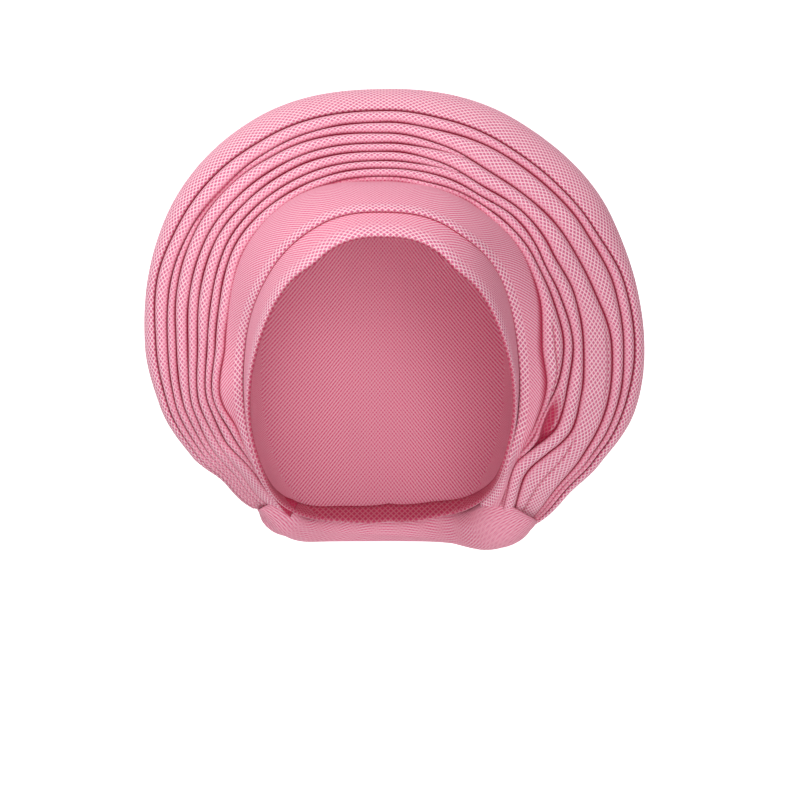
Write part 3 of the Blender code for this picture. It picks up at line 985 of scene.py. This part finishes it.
@dataclass
class SecondWrap:
    """The second turn: a band from its folded edge to under the innermost pleats.

    Attributes:
        swell_rows: The band's swell off the head: a share of its way, and of the swell there.
    """

    halo: Halo
    finish: Damask
    under: float = 0.008
    under_points: int = 4
    sunk: float = 0.0002
    swell: float = 0.05
    swell_rows: tuple[tuple[float, float], ...] = ((0.0, 0.0), (0.08, 0.3), (0.35, 1.0), (0.70, 0.8))
    # Painted highlight: the floats show near the folded edge and little on the flat band.
    edge_band: float = 0.0050
    flat_glint: float = 0.12
    # Painted shadow under the first pleat: its width, more on the right side, and its strength.
    shadow: float = 0.0018
    right_shadow: float = 0.0035
    pleat_painted_shadow: float = 0.95
    nose_points: int = 7
    face_points: int = 34

    def face(self, section: Section, up: Vector) -> tuple[list[Vector], float]:
        """The band's face in one section, from its fold to under the pleats.

        Args:
            section: The section.
            up: The way off the head, square to the band.

        Returns:
            The face's points as (out, back), and its length.
        """
        tuck = self.halo.pleat_tuck
        band = section.root - section.turn
        swell = Vector((band.y, -band.x)) * self.swell
        if swell.dot(up) < 0:
            swell = -swell
        knots = [section.turn + band * share + swell * rise for share, rise in self.swell_rows]
        knots += [section.root + section.along * s + section.up * section.top(-1, s)
                  for s in (0, tuck / 2, tuck, 2 * tuck)]
        places = [0.0]
        for before, after in zip(knots, knots[1:]):
            places.append(places[-1] + max((after - before).length, 1e-5))
        ends = [places[-1] * k / self.face_points for k in range(self.face_points + 1)]
        xs, ys = [knot.x for knot in knots], [knot.y for knot in knots]
        return [Vector((smooth(places, xs, at), smooth(places, ys, at))) for at in ends], places[-1]

    def strip(self, station: float) -> list[Point]:
        """The band in one section, from under its fold to under the pleats.

        Args:
            station: The section's angle.

        Returns:
            The strip's points.
        """
        halo = self.halo
        section = halo.section(station)
        radius = (halo.cloth.gap + halo.cloth.band / 2 + section.puff) / 2 + self.sunk
        band = section.root - section.turn
        way = band.normalized()
        up = Vector((way.y, -way.x)) if band.y > 0 else Vector((-way.y, way.x))
        face, length = self.face(section, up)
        start = face[0]
        forward = (face[0] - face[1]).normalized()
        down = Vector((forward.y, -forward.x))
        if down.dot(up) > 0:
            down = -down
        low = start + down * 2 * radius
        line = [low - forward * self.under * k / (self.under_points - 1)
                for k in reversed(range(self.under_points))]
        # Painted shade: full under the fold, fading round its nose.
        hidden = [1.0] * len(line)
        for k in reversed(range(1, self.nose_points)):
            turn = math.pi * k / self.nose_points
            line.append(start + down * radius * (1 - math.cos(turn)) + forward * radius * math.sin(turn))
            hidden.append(ease(0.35, 0.60, k / self.nose_points))
        first = len(line)
        line += face
        hidden += [0.0] * len(face)
        points = [halo.form.in_space(station, point) for point in line]
        # Painted shadow where the first pleat covers the band, and painted highlight near the fold.
        shadow = self.shadow + self.right_shadow * ease(40, 100, station)
        first_pleat = length - 2 * halo.pleat_tuck + section.folds[section.layer_over(-1)]
        strip = []
        for co, place, nook in zip(points, walk(points, first), hidden):
            painted_shadow_under_pleat = self.pleat_painted_shadow * (1 - ease(0.0, shadow, first_pleat - place))
            edge = 1 - ease(0.6 * self.edge_band, self.edge_band, place)
            strip.append(Point(co, place, max(nook, painted_shadow_under_pleat),
                               self.flat_glint + (1 - self.flat_glint) * edge))
        return strip

    def make(self) -> None:
        """Builds and dresses the band."""
        end = self.halo.end_angle
        Sheet("second_wrap", [self.strip(station) for station in stations(-end, end)],
              self.under_points + self.nose_points - 1, self.finish, Held.FOLDED, "head_wrap",
              ply=self.halo.cloth.ply).lay()


@dataclass
class Pleat:
    """A pressed pleat: a hairpin fold that lies on the next one in, under the next one out."""

    halo: Halo
    layer: int
    finish: Damask
    waviness: float = 0.0005
    waver_angle: float = 9.0
    crown: float = 0.0007
    # Painted shadow just under the next fold out: where it starts and where it is full.
    crease_start: float = 0.0019
    crease_full: float = 0.0004
    # Painted highlight: the floats show little on the nose, which is turned from the light, and fully on the
    # face.
    nose_glint: float = 0.25
    nose_band: float = 0.0026
    face_points: int = 30

    def start(self, section: Section) -> float:
        """Where the fold is, with the slight waver of a fold pressed by hand."""
        waver = noise.noise(Vector((section.station / self.waver_angle, 3.1 * self.layer, 0.0)))
        return section.folds[self.layer] + self.waviness * waver

    def strip(self, station: float) -> list[Point]:
        """The pleat in one section, from its hidden edge round its fold and over its face.

        Args:
            station: The section's angle.

        Returns:
            The strip's points.
        """
        section, layer = self.halo.section(station), self.layer
        start, radius = self.start(section), section.radius(layer)
        next_layer = section.layer_over(layer)
        over = max(section.folds[next_layer], start + 2 * radius)
        end = over + self.halo.pleat_tuck
        line, hidden = section.hairpin(layer, start)
        first = len(line)
        for k in range(self.face_points + 1):
            place = start + radius + (end - start - radius) * k / self.face_points
            seen = (place - start - radius) / max(over - start - radius, 1e-4)
            bulge = self.crown * math.sin(math.pi * min(seen, 1.0))
            line.append((place, section.top(layer, place) + bulge))
            # Painted shadow under the next fold out, and the painted shade of the soft creases and the
            # pocket.
            dark = ease(-self.crease_start, -self.crease_full, place - over) * section.shown(next_layer)
            hidden.append(max(dark, section.shade_at(layer, place)))
        points = [section.place(along, height) for along, height in line]
        strip = []
        for co, place, nook in zip(points, walk(points, first), hidden):
            # Painted highlight rises from the nose onto the face.
            glint = self.nose_glint + (1 - self.nose_glint) * ease(-radius, self.nose_band, place)
            strip.append(Point(co, place, nook, glint))
        return strip

    def make(self) -> None:
        """Builds and dresses the pleat."""
        fold = FOLDS[self.layer]
        below = "second_wrap" if self.layer == 0 else FOLDS[self.layer - 1].name
        Sheet(fold.name, [self.strip(station) for station in stations(fold.first, fold.last)],
              self.halo.hairpin_points(), self.finish, Held.FOLDED, below, ply=self.halo.cloth.ply).lay()


@dataclass
class RimDrape:
    """The widest pleat: it turns over the rim and falls to the knot in radiating gathers.

    Attributes:
        leave_back: How far back the fall leaves the rim, at the side and more at the top.
        arrive: How the fall comes to the knot: across, back, and from above and below.
        dent_depths: How deep the wide and the narrow gathers are.
    """

    halo: Halo
    finish: Damask
    rim_roll: float = 0.012
    knot_down: float = 0.150
    knot_throat: float = 0.013
    leave_back: tuple[float, float] = (0.27, 0.18)
    arrive: tuple[float, float, float, float] = (0.65, 0.03, 0.70, 0.40)
    gather_count: int = 8
    gather_depth: float = 0.0035
    gather_waver: float = 1.2
    waver_angle: float = 40.0
    dent_depths: tuple[float, float] = (0.75, 0.30)
    face_points: int = 18
    back_points: int = 40

    def lift(self) -> float:
        """How far the drape's outside stays off the head, so that its gathers clear the cap."""
        cloth = self.halo.cloth
        return cloth.cap + 2 * cloth.gap + cloth.drape + self.gather_depth

    def seat(self) -> Vector:
        """Where the drape gathers to the knot, behind the head on its middle line.

        Returns:
            The point.
        """
        form = self.halo.form
        down = abs(self.knot_down - self.knot_throat - form.half_height) / (form.half_height + self.lift())
        back = (form.half_length + self.lift()) * (1 - down ** form.power) ** (1 / form.power)
        return Vector((0, back, -self.knot_down))

    def back_line(self, section: Section, roll_end: Vector) -> list[Vector]:
        """The drape's fall from the rim to the knot's throat, in one section.

        Args:
            section: The section.
            roll_end: Where the cloth has turned over the rim.

        Returns:
            The fall's points.
        """
        form = self.halo.form
        angle = math.radians(section.station)
        across, up = math.sin(angle), math.cos(angle)
        above, below = max(up, 0), min(up, 0)
        seat = self.seat()
        throat = seat + Vector((self.knot_throat * across, 0, self.knot_throat * up))
        least, more = self.leave_back
        leave = roll_end + Vector((0, form.half_length * (least + more * above), 0))
        wide, back, high, low = self.arrive
        arrive = seat + Vector((wide * form.half_width * across, back * up * form.half_length,
                                (high * above + low * below) * form.half_height))
        return [form.push_off(bezier([roll_end, leave, arrive, throat], k / self.back_points), self.lift())
                for k in range(1, self.back_points + 1)]

    def strip(self, station: float) -> list[Point]:
        """The drape in one section, from its hidden edge round its fold, the rim and the back.

        Args:
            station: The section's angle.

        Returns:
            The strip's points.
        """
        section = self.halo.section(station)
        start = section.folds[RIM]
        top = section.top(RIM, start)
        line, hidden = section.hairpin(RIM, start)
        points = [section.place(along, height) for along, height in line]
        first = len(points)
        begin = section.place(start + section.radius(RIM), top)
        crest = section.place(section.length, top)
        roll_end = section.place(section.length, 0) + Vector((0, self.rim_roll, 0))
        points += [bezier([begin, crest, roll_end], k / self.face_points)
                   for k in range(self.face_points + 1)]
        for k, point in enumerate(self.back_line(section, roll_end)):
            points.append(point + self.dent(section, k / (self.back_points - 1), point))
        hidden += [0.0] * (len(points) - len(hidden))
        return [Point(co, place, nook) for co, place, nook in zip(points, walk(points, first), hidden)]

    def dent(self, section: Section, share: float, point: Vector) -> Vector:
        """How the gathers dent the drape.

        Args:
            section: The section.
            share: The share of the drape's fall.
            point: The undented point there.

        Returns:
            The way that the point moves.
        """
        phase = math.radians(section.station) * self.gather_count * 180 / self.halo.end_angle
        spot = Vector((section.station / self.waver_angle, 2.5 * share, 7.0))
        waver = self.gather_waver * noise.noise(spot)
        wide = (math.cos(phase + waver) - 1) / 2
        narrow = (math.cos(2.6 * phase + 2.0 * waver) - 1) / 2
        depth = self.gather_depth * math.sin(math.pi * share) ** 0.8
        outwards = Vector((point.x, 0.35 * (point.y + 0.02), point.z + self.halo.form.half_height))
        wide_depth, narrow_depth = self.dent_depths
        return (outwards.normalized() * depth
                * (wide_depth * wide + narrow_depth * narrow * ease(0.35, 0.9, share)))

    def make(self) -> None:
        """Builds and dresses the drape."""
        end = self.halo.end_angle
        Sheet("rim_drape", [self.strip(station) for station in stations(-end, end)],
              self.halo.hairpin_points(), self.finish, Held.GATHERED, "pleat_8",
              ply=self.halo.cloth.ply).lay()


@dataclass(frozen=True)
class NapeRow:
    """The nape roll's size at a share of its way, as shares of the roll's own size."""

    at: float
    wide: float
    thick: float


NAPE = (
    NapeRow(0.00, 1.05, 2.12), NapeRow(0.05, 1.04, 2.08), NapeRow(0.14, 0.94, 1.85),
    NapeRow(0.30, 0.78, 1.55), NapeRow(0.50, 0.66, 1.80), NapeRow(0.70, 0.64, 1.40),
    NapeRow(0.86, 0.64, 1.02), NapeRow(0.95, 0.72, 0.98), NapeRow(1.00, 0.76, 1.04),
)


@dataclass
class NapeWrap:
    """The bunched cloth round the nape: the fan's two ends go into its mouths.

    Attributes:
        mouth: The turned-in mouth, from its middle out: shares of the way, and of the size.
    """

    halo: Halo
    finish: Damask
    width: float = 0.038
    thickness: float = 0.018
    reach: float = 0.088
    down: float = 0.189
    beside: float = 0.7
    overlap: float = 0.006
    inward: float = 0.45
    steepness: float = 25.0
    lead: float = 0.026
    mouth: tuple[tuple[float, float], ...] = (
        (0.036, 0.02), (0.034, 0.45), (0.024, 0.75), (0.008, 0.88), (0.000, 0.94), (0.002, 0.98),
        (0.008, 1.00))
    # Painted shade inside the mouths, where the fan's ends go in.
    mouth_painted_shade: float = 0.75
    strips: int = 110
    around: int = 48
    creases: int = 5
    crease_depth: float = 0.0012
    crease_turn: float = 1.5
    crease_power: int = 6
    glint: float = 0.2

    def fan_end(self, side: int) -> tuple[Vector, Vector]:
        """Where one end of the halo goes into the roll.

        Args:
            side: 1 for the right end, -1 for the left one.

        Returns:
            The middle of the roll's mouth, and the way that the roll leaves it.
        """
        halo = self.halo
        section = halo.section(side * halo.end_angle)
        hem = halo.form.in_space(section.station, section.turn)
        middle = hem.lerp(section.place(section.length, 0), self.inward)
        angle = math.radians(side * (halo.end_angle - halo.end_skew / 2 - self.steepness))
        way = Vector((side * math.cos(angle), 0, -side * math.sin(angle)))
        return middle - way * self.overlap, way

    def halves(self) -> tuple[list[Vector], list[Vector]]:
        """The roll's middle line, from the right mouth round the back to the left one.

        Returns:
            The control points of its two halves.
        """
        right, right_way = self.fan_end(1)
        left, left_way = self.fan_end(-1)
        back = Vector((0, self.reach, -self.down))
        beside = Vector((self.beside * self.halo.form.half_width, 0, 0))
        return ([right, right + right_way * self.lead, back + beside, back],
                [back, back - beside, left + left_way * self.lead, left])

    def ring(self, half: list[Vector], t: float, share: float, scale: float) -> list[Point]:
        """One ring of the roll.

        Args:
            half: The control points of the half that the ring is in.
            t: The share of the half's way.
            share: The share of the whole way.
            scale: The ring's scale, under 1 in a mouth.

        Returns:
            The ring's points.
        """
        middle = bezier(half, t)
        way = bezier([b - a for a, b in zip(half, half[1:])], t)
        aside = Vector((way.y, -way.x, 0)).normalized()
        up = aside.cross(way).normalized()
        wide = self.width / 2 * column(NAPE, "wide", share) * scale
        thick = self.thickness / 2 * column(NAPE, "thick", share) * scale
        points = []
        for c in range(self.around + 1):
            turn = 2 * math.pi * c / self.around
            wave = math.cos(self.creases / 2 * (turn + self.crease_turn * share))
            crease = self.crease_depth * abs(wave) ** self.crease_power * scale
            points.append(middle + aside * (wide - crease) * math.cos(turn)
                          + up * (thick - crease) * math.sin(turn))
        # Painted shade, deepest where the mouth turns in.
        hidden = self.mouth_painted_shade * (1 - ease(0.85, 0.98, scale))
        return [Point(co, place, hidden, self.glint) for co, place in zip(points, walk(points))]

    def make(self) -> None:
        """Builds and dresses the roll, whose mouths turn in round the fan's ends."""
        right, left = self.halves()
        last = self.mouth[-1][0]
        rows = list(self.mouth)
        rows += [(last + (1 - 2 * last) * k / self.strips, 1.0) for k in range(1, self.strips)]
        rows += [(1 - share, scale) for share, scale in reversed(self.mouth)]
        strips = []
        for share, scale in rows:
            half, t = (right, 2 * share) if share <= 0.5 else (left, 2 * share - 1)
            strips.append(self.ring(half, t, share, scale))
        Sheet("nape_wrap", strips, 0, self.finish, Held.FOLDED, "head_wrap", closed=True, layers=2).lay()


@dataclass
class Knot:
    """The knot at the nape and its two short ends.

    Attributes:
        groove_place: Where the slanting folds that pinch the knot are, and how they slant.
        tail_start: Where an end leaves the knot: shares of its width and its height.
        tail_waves: How deep an end's waves are, at the knot and more at its hem.
    """

    drape: RimDrape
    finish: Damask
    width: float = 0.046
    height: float = 0.036
    depth: float = 0.024
    lift: float = 0.0024
    around: int = 96
    rings: int = 48
    groove_place: tuple[float, float] = (0.45, 0.30)
    groove_width: float = 0.10
    groove_depth: float = 0.14
    wrinkle: float = 0.025
    tail_length: float = 0.034
    tail_width: float = 0.030
    tail_splay: float = 28.0
    tail_ply: float = 0.0010
    tail_start: tuple[float, float] = (0.27, 0.43)
    tail_waist: float = 0.38
    tail_waves: tuple[float, float] = (0.05, 0.05)
    tail_rows: int = 28
    tail_corners: int = 36

    def middle(self) -> Vector:
        """The knot's middle: it sits on the edge of the drape's throat."""
        sunk = math.sqrt(1 - (self.drape.knot_throat / (self.width / 2)) ** 2)
        return self.drape.seat() + Vector((0, self.depth / 2 * sunk + self.lift, 0))

    def make_knot(self) -> None:
        """Builds and dresses the knot: a turned ball of cloth, pinched by slanting folds."""
        middle = self.middle()
        aside, slant = self.groove_place
        strips = []
        for i in range(self.around + 1):
            angle = 2 * math.pi * i / self.around
            strip = []
            for j in range(self.rings + 1):
                fall = math.pi * j / self.rings
                x, y = math.sin(fall) * math.sin(angle), -math.sin(fall) * math.cos(angle)
                z = math.cos(fall)
                groove = math.exp(-((abs(x) - aside - slant * z) / self.groove_width) ** 2) * max(y, 0.0)
                wrinkle = self.wrinkle * math.cos(9 * z + 4 * x) * max(y, 0.0)
                size = 1 - self.groove_depth * groove + wrinkle
                co = middle + Vector((x * self.width / 2 * size, y * self.depth / 2 * size,
                                      z * self.height / 2 * size))
                # Painted shade in the pinching grooves.
                strip.append(Point(co, fall * self.height / 2, 0.8 * groove))
            strips.append(strip)
        Sheet("nape_knot", strips, self.rings // 2, self.finish, Held.GATHERED, "rim_drape",
              closed=True, outwards=-1, layers=2).lay()

    def make_tail(self, name: str, side: int) -> None:
        """Builds and dresses one short end, which hangs from the knot's underside.

        Args:
            name: The node that the end stands for.
            side: 1 for the right end, -1 for the left one.
        """
        splay = math.radians(self.tail_splay)
        way = Vector((side * math.sin(splay), 0, -math.cos(splay)))
        aside = Vector((math.cos(splay), 0, side * math.sin(splay)))
        beside, below = self.tail_start
        start = self.middle() + Vector((side * beside * self.width, 0, -below * self.height))
        strips = []
        for c in range(self.tail_corners + 1):
            along = 2 * c / self.tail_corners - 1
            strip = []
            for row in range(self.tail_rows + 1):
                share = row / self.tail_rows
                half = self.tail_width / 2 * (self.tail_waist + (1 - self.tail_waist) * share ** 0.6)
                least, more = self.tail_waves
                wave = self.depth * (least + more * share) * math.cos(2.5 * math.pi * along + 0.8 * share)
                co = start + way * self.tail_length * share + aside * half * along + Vector((0, wave, 0))
                # Painted shade where the end comes out from under the knot.
                strip.append(Point(co, self.tail_length * share, 0.6 * (1 - ease(0.0, 0.15, share))))
            strips.append(strip)
        Sheet(name, strips, self.tail_rows, self.finish, Held.GATHERED, "nape_knot",
              ply=self.tail_ply).lay()

    def make(self) -> None:
        """Builds the knot and both ends."""
        self.make_knot()
        self.make_tail("tail_end_right", 1)
        self.make_tail("tail_end_left", -1)


@dataclass(frozen=True)
class Softbox:
    """A square softbox: its name, its place, its side in metres and its power in watts."""

    name: str
    place: tuple[float, float, float]
    side: float
    power: float


@dataclass
class Studio:
    """The pale sweep of paper, the soft lights and the camera at the photo's angle.

    Attributes:
        foot: From which share of the sweep's rows to which the curved foot goes.
    """

    camera_place: tuple[float, float, float] = (0.0106, -1.276, -0.1184)
    lens_mm: float = 100.0
    sensor_mm: float = 36.0
    floor: float = -0.90
    sweep_front: float = -4.0
    sweep_back: float = 2.6
    sweep_radius: float = 1.0
    sweep_wall: float = 3.0
    sweep_rows: int = 40
    foot: tuple[float, float] = (0.25, 0.75)
    half_width: float = 4.0
    paper: MattPaper = field(default_factory=MattPaper)
    lights: tuple[Softbox, ...] = (Softbox("key_softbox", (-1.0, -0.9, 1.5), 0.9, 27.0),
                                   Softbox("fill_softbox", (0.35, -2.4, 0.1), 1.2, 23.5))
    aim: tuple[float, float, float] = (0.0, 0.0, -0.07)
    air: str = "ffdfe6"
    air_strength: float = 0.30

    def sweep_line(self, share: float) -> tuple[float, float]:
        """The sweep's line from the floor's front over its curved foot and up the wall.

        Args:
            share: The share of the sweep's rows.

        Returns:
            The point as (y, z).
        """
        begin, end = self.foot
        if share < begin:
            return self.sweep_front + (self.sweep_back - self.sweep_front) * share / begin, self.floor
        if share < end:
            turn = math.pi / 2 * (share - begin) / (end - begin)
            return (self.sweep_back + self.sweep_radius * math.sin(turn),
                    self.floor + self.sweep_radius * (1 - math.cos(turn)))
        return (self.sweep_back + self.sweep_radius,
                self.floor + self.sweep_radius + self.sweep_wall * (share - end) / (1 - end))

    def make_sweep(self) -> None:
        """Builds the floor and backdrop in one sheet of paper with a curved foot."""
        deselect_all()
        bpy.ops.mesh.primitive_grid_add(x_subdivisions=2, y_subdivisions=self.sweep_rows, size=1.0,
                                        location=(0, 0, 0))
        sweep = bpy.context.object
        sweep.name = "studio_sweep"
        for vertex in sweep.data.vertices:
            vertex.co = (vertex.co.x * 2 * self.half_width, *self.sweep_line(vertex.co.y + 0.5))
        sweep.data.shade_smooth()
        sweep.data.materials.append(self.paper.material())

    def make_light(self, softbox: Softbox) -> None:
        """Adds a softbox that faces the halo.

        Args:
            softbox: The softbox.
        """
        light = bpy.data.lights.new(softbox.name, "AREA")
        light.shape = "SQUARE"
        light.size = softbox.side
        light.energy = softbox.power
        lamp = bpy.data.objects.new(softbox.name, light)
        bpy.context.scene.collection.objects.link(lamp)
        lamp.location = softbox.place
        way = Vector(self.aim) - Vector(softbox.place)
        lamp.rotation_euler = way.to_track_quat("-Z", "Y").to_euler()

    def make_camera(self) -> None:
        """Adds the camera at the photo's height and distance, level."""
        camera = bpy.data.cameras.new("camera")
        camera.lens = self.lens_mm
        camera.sensor_width = self.sensor_mm
        camera.dof.use_dof = False
        holder = bpy.data.objects.new("camera", camera)
        bpy.context.scene.collection.objects.link(holder)
        holder.location = self.camera_place
        holder.rotation_euler = (math.pi / 2, 0.0, 0.0)
        bpy.context.scene.camera = holder

    def make(self) -> None:
        """Builds the camera, the sweep, the lights and the studio's even air."""
        self.make_camera()
        self.make_sweep()
        for softbox in self.lights:
            self.make_light(softbox)
        world = bpy.data.worlds.new("studio_air")
        world.use_nodes = True
        sky = world.node_tree.nodes["Background"]
        sky.inputs["Color"].default_value = linear_colour(self.air)
        sky.inputs["Strength"].default_value = self.air_strength
        bpy.context.scene.world = world
        bpy.context.scene.view_settings.view_transform = "Standard"


def main() -> None:
    """Loads the frame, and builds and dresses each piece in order."""
    logging.basicConfig(level=logging.INFO, format="%(message)s")
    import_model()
    halo = Halo()
    HeadWrap(halo, Damask("damask_first_wrap", lean=-1.0)).make()
    SecondWrap(halo, Damask("damask_second_wrap", lean=1.0)).make()
    for layer in range(RIM):
        Pleat(halo, layer, Damask("damask_" + FOLDS[layer].name)).make()
    drape = RimDrape(halo, Damask("damask_rim"))
    drape.make()
    NapeWrap(halo, Damask("damask_nape", row_width_mm=40.0, row_height_mm=1.8)).make()
    Knot(drape, Damask("damask_knot")).make()
    Studio().make()


if __name__ == "__main__":
    main()
